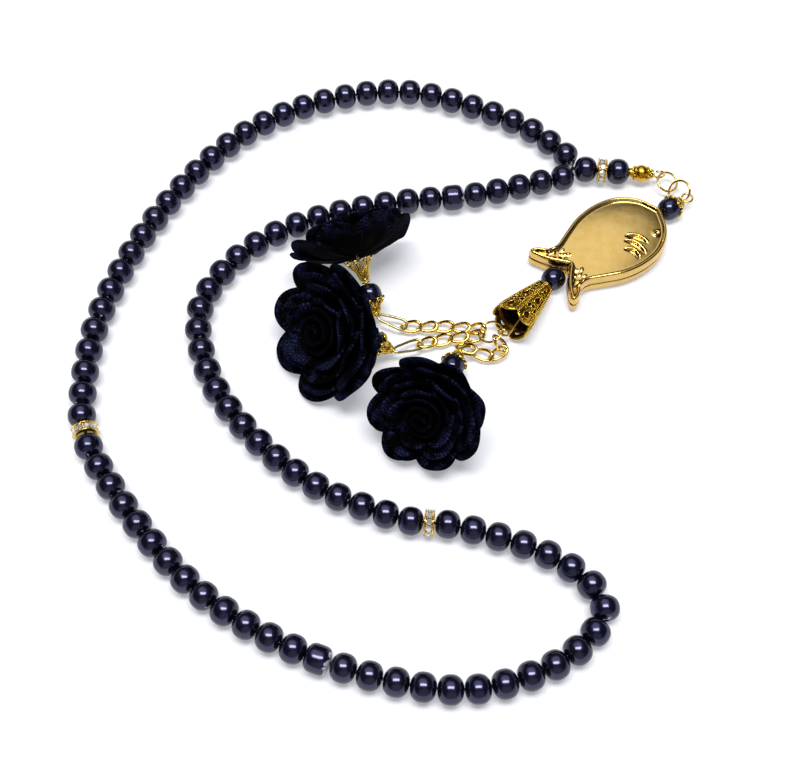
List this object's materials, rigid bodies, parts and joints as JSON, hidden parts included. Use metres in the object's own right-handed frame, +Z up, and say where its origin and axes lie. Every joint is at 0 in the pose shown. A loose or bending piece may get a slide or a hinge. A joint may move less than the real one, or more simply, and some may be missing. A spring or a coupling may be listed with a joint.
{
  "type": "misbaha prayer beads",
  "caption": "Loop of dark pearl prayer beads with crystal rondelles, a gold tail, a fish pendant, a filigree cone and a chain tassel of velvet roses.",
  "frame": {"origin": "middle of the footprint, on the table it lies on", "axes": "+Z up from the table, +Y from the front of the laid loop to its back, +X towards the tail and pendant"},
  "size_m": [0.2088, 0.2292, 0.0388],
  "materials": {
    "pearl": "dark violet pearl coat",
    "gold": "polished gold plate",
    "crystal": "faceted clear stone",
    "velvet": "short black velvet pile",
    "cord": "twisted dark nylon"
  },
  "bodies": {
    "tail": {"stringing_cord": "cord", "ball_cap_near": "gold", "ball_cap_far": "gold", "tail_eye": "gold"},
    "gold_ball": {"gold_ball": "gold"},
    "junction_bead": {"junction_bead": "pearl"},
    "tail_bead": {"tail_bead": "pearl"},
    "tail_rondelle": {"tail_rondelle_frame": "gold", "tail_rondelle_crystals": "crystal"},
    "side_rondelle": {"side_rondelle_frame": "gold", "side_rondelle_crystals": "crystal"},
    "front_rondelle": {"front_rondelle_frame": "gold", "front_rondelle_crystals": "crystal"},
    "bead_run_1": {"bead_run_1": "pearl"},
    "bead_run_2": {"bead_run_2": "pearl"},
    "bead_run_3": {"bead_run_3": "pearl"},
    "bead_run_4": {"bead_run_4": "pearl"},
    "bead_run_5": {"bead_run_5": "pearl"},
    "bead_run_6": {"bead_run_6": "pearl"},
    "bead_run_7": {"bead_run_7": "pearl"},
    "bead_run_8": {"bead_run_8": "pearl"},
    "bead_run_9": {"bead_run_9": "pearl"},
    "tail_ring": {"tail_ring": "gold"},
    "link_ring": {"link_ring": "gold"},
    "fish_pin": {"fish_pin": "gold", "fish_head_cap": "gold"},
    "fish_head_bead": {"fish_head_bead": "pearl"},
    "fish": {"fish": "gold"},
    "fish_tail_bead": {"fish_tail_bead": "pearl"},
    "filigree_cone": {"filigree_cone": "gold"},
    "tassel_ring": {"tassel_ring": "gold"},
    "chain_1": {"chain_1": "gold"},
    "rose_1": {"rose_1_outer_petals": "velvet", "rose_1_middle_petals": "velvet", "rose_1_inner_petals": "velvet", "rose_1_heart": "velvet", "rose_1_cap": "gold", "rose_1_calyx": "gold", "rose_1_pin": "gold"},
    "rose_1_bead": {"rose_1_bead": "pearl"},
    "chain_2": {"chain_2": "gold"},
    "rose_2": {"rose_2_outer_petals": "velvet", "rose_2_middle_petals": "velvet", "rose_2_inner_petals": "velvet", "rose_2_heart": "velvet", "rose_2_cap": "gold", "rose_2_calyx": "gold", "rose_2_pin": "gold"},
    "rose_2_bead": {"rose_2_bead": "pearl"},
    "chain_3": {"chain_3": "gold"},
    "rose_3": {"rose_3_outer_petals": "velvet", "rose_3_middle_petals": "velvet", "rose_3_inner_petals": "velvet", "rose_3_heart": "velvet", "rose_3_cap": "gold", "rose_3_calyx": "gold", "rose_3_pin": "gold"},
    "rose_3_bead": {"rose_3_bead": "pearl"}
  },
  "joints": [
    {"name": "spin_gold_ball", "type": "hinge", "parent": "tail", "child": "gold_ball", "pos_m": [0.08686, 0.07317, 0.00472], "axis": [0.9962, -0.0872, 0], "continuous": true},
    {"name": "spin_junction_bead", "type": "hinge", "parent": "tail", "child": "junction_bead", "pos_m": [0.06742, 0.07487, 0.00472], "axis": [0.9962, -0.0872, 0], "continuous": true},
    {"name": "spin_tail_bead", "type": "hinge", "parent": "tail", "child": "tail_bead", "pos_m": [0.07874, 0.07388, 0.00472], "axis": [0.9962, -0.0872, 0], "continuous": true},
    {"name": "spin_tail_rondelle", "type": "hinge", "parent": "tail", "child": "tail_rondelle", "pos_m": [0.07308, 0.07438, 0.00472], "axis": [0.9962, -0.0872, 0], "continuous": true},
    {"name": "fold", "type": "hinge", "parent": "tail", "child": "bead_run_1", "pos_m": [0.06407, 0.07802, 0.00472], "axis": [0, 0, 1], "range_deg": [-6, 6], "deforming": ["stringing_cord"]},
    {"name": "fold_bead_run_2", "type": "hinge", "parent": "bead_run_1", "child": "bead_run_2", "pos_m": [-0.01397, 0.10847, 0.00472], "axis": [0, 0, 1], "range_deg": [-5.29, 5.29]},
    {"name": "fold_bead_run_3", "type": "hinge", "parent": "bead_run_2", "child": "bead_run_3", "pos_m": [-0.08033, 0.05722, 0.00472], "axis": [0, 0, 1], "range_deg": [-2, 2]},
    {"name": "fold_bead_run_4", "type": "hinge", "parent": "bead_run_3", "child": "bead_run_4", "pos_m": [-0.09732, -0.02751, 0.00472], "axis": [0, 0, 1], "range_deg": [-4.83, 4.83]},
    {"name": "fold_bead_run_5", "type": "hinge", "parent": "bead_run_4", "child": "bead_run_5", "pos_m": [-0.03959, -0.09261, 0.00472], "axis": [0, 0, 1], "range_deg": [-1.58, 1.58]},
    {"name": "fold_bead_run_9", "type": "hinge", "parent": "tail", "child": "bead_run_9", "pos_m": [0.06322, 0.07302, 0.00472], "axis": [0, 0, 1], "range_deg": [-1.19, 1.19]},
    {"name": "fold_bead_run_8", "type": "hinge", "parent": "bead_run_9", "child": "bead_run_8", "pos_m": [-0.02224, 0.05521, 0.00472], "axis": [0, 0, 1], "range_deg": [-1.84, 1.84]},
    {"name": "fold_bead_run_7", "type": "hinge", "parent": "bead_run_8", "child": "bead_run_7", "pos_m": [-0.05858, -0.00933, 0.00472], "axis": [0, 0, 1], "range_deg": [-0.69, 0.69]},
    {"name": "fold_bead_run_6", "type": "hinge", "parent": "bead_run_7", "child": "bead_run_6", "pos_m": [0.011, -0.05857, 0.00472], "axis": [0, 0, 1], "range_deg": [-2.4, 2.4]},
    {"name": "spin_side_rondelle", "type": "hinge", "parent": "bead_run_3", "child": "side_rondelle", "pos_m": [-0.09732, -0.02751, 0.00472], "axis": [0.2954, -0.9554, 0], "continuous": true},
    {"name": "spin_front_rondelle", "type": "hinge", "parent": "bead_run_7", "child": "front_rondelle", "pos_m": [0.011, -0.05857, 0.00472], "axis": [-0.9952, 0.098, 0], "continuous": true},
    {"name": "lift_tail_ring", "type": "hinge", "parent": "tail", "child": "tail_ring", "pos_m": [0.0935, 0.07259, 0.00472], "axis": [-0.6947, -0.7193, 0], "range_deg": [0, 15]},
    {"name": "lift_link_ring", "type": "hinge", "parent": "tail_ring", "child": "link_ring", "pos_m": [0.09727, 0.06896, 0.00302], "axis": [-0.7463, -0.6656, 0], "range_deg": [0, 7]},
    {"name": "lift_fish", "type": "hinge", "parent": "link_ring", "child": "fish_pin", "pos_m": [0.10238, 0.06322, 0.00395], "axis": [-0.5664, 0.8241, 0], "range_deg": [0, 25]},
    {"name": "spin_fish_head_bead", "type": "hinge", "parent": "fish_pin", "child": "fish_head_bead", "pos_m": [0.0955, 0.05849, 0.00395], "axis": [0.8241, 0.5664, 0], "continuous": true},
    {"name": "spin_fish", "type": "hinge", "parent": "fish_pin", "child": "fish", "pos_m": [0.05372, 0.02977, 0.00395], "axis": [0.8241, 0.5664, 0], "continuous": true},
    {"name": "spin_fish_tail_bead", "type": "hinge", "parent": "fish_pin", "child": "fish_tail_bead", "pos_m": [0.05372, 0.02977, 0.00395], "axis": [0.733, 0.6766, -0.0705], "continuous": true},
    {"name": "spin_cone", "type": "hinge", "parent": "fish_pin", "child": "filigree_cone", "pos_m": [0.05073, 0.02608, 0.00462], "axis": [-0.6232, -0.7696, 0.1392], "continuous": true},
    {"name": "lift_tassel_ring", "type": "hinge", "parent": "fish_pin", "child": "tassel_ring", "pos_m": [0.03557, 0.00794, 0.00572], "axis": [0.2419, 0.9703, 0], "range_deg": [0, 12]},
    {"name": "lift_chain_1", "type": "hinge", "parent": "tassel_ring", "child": "chain_1", "pos_m": [0.02868, 0.01079, 0.00303], "axis": [0.0507, 0.9987, 0], "range_deg": [0, 12]},
    {"name": "lift_rose_1", "type": "hinge", "parent": "chain_1", "child": "rose_1", "pos_m": [0.00414, 0.01204, 0.00257], "axis": [0.5727, 0.8198, 0], "range_deg": [0, 15]},
    {"name": "spin_rose_1_bead", "type": "hinge", "parent": "rose_1", "child": "rose_1_bead", "pos_m": [-0.00783, 0.0204, 0.00862], "axis": [-0.3142, 0.7776, 0.5446], "continuous": true},
    {"name": "lift_chain_2", "type": "hinge", "parent": "tassel_ring", "child": "chain_2", "pos_m": [0.02818, 0.00824, 0.00308], "axis": [-0.1435, 0.9897, 0], "range_deg": [0, 8]},
    {"name": "lift_rose_2", "type": "hinge", "parent": "chain_2", "child": "rose_2", "pos_m": [0.00922, 0.00549, 0.00257], "axis": [-0.1598, 0.9872, 0], "range_deg": [0, 9]},
    {"name": "spin_rose_2_bead", "type": "hinge", "parent": "rose_2", "child": "rose_2_bead", "pos_m": [-0.00648, 0.00295, 0.00782], "axis": [-0.8715, 0.1853, 0.454], "continuous": true},
    {"name": "lift_chain_3", "type": "hinge", "parent": "tassel_ring", "child": "chain_3", "pos_m": [0.03353, 0.00529, 0.00523], "axis": [-0.3198, 0.9475, 0], "range_deg": [0, 12]},
    {"name": "lift_rose_3", "type": "hinge", "parent": "chain_3", "child": "rose_3", "pos_m": [0.02615, 0.0028, 0.00257], "axis": [-0.7563, 0.6542, 0], "range_deg": [0, 15]},
    {"name": "spin_rose_3_bead", "type": "hinge", "parent": "rose_3", "child": "rose_3_bead", "pos_m": [0.01892, -0.00555, 0.00702], "axis": [-0.3635, -0.8996, 0.2419], "continuous": true}
  ],
  "couplings": [
    {"joint": "fold_bead_run_2", "follows": "fold", "ratio": -0.88004},
    {"joint": "fold_bead_run_3", "follows": "fold", "ratio": -0.33224},
    {"joint": "fold_bead_run_4", "follows": "fold", "ratio": 0.80274},
    {"joint": "fold_bead_run_5", "follows": "fold", "ratio": 0.26159},
    {"joint": "fold_bead_run_9", "follows": "fold", "ratio": -0.19715},
    {"joint": "fold_bead_run_8", "follows": "fold", "ratio": 0.30462},
    {"joint": "fold_bead_run_7", "follows": "fold", "ratio": 0.11251},
    {"joint": "fold_bead_run_6", "follows": "fold", "ratio": -0.39854}
  ]
}
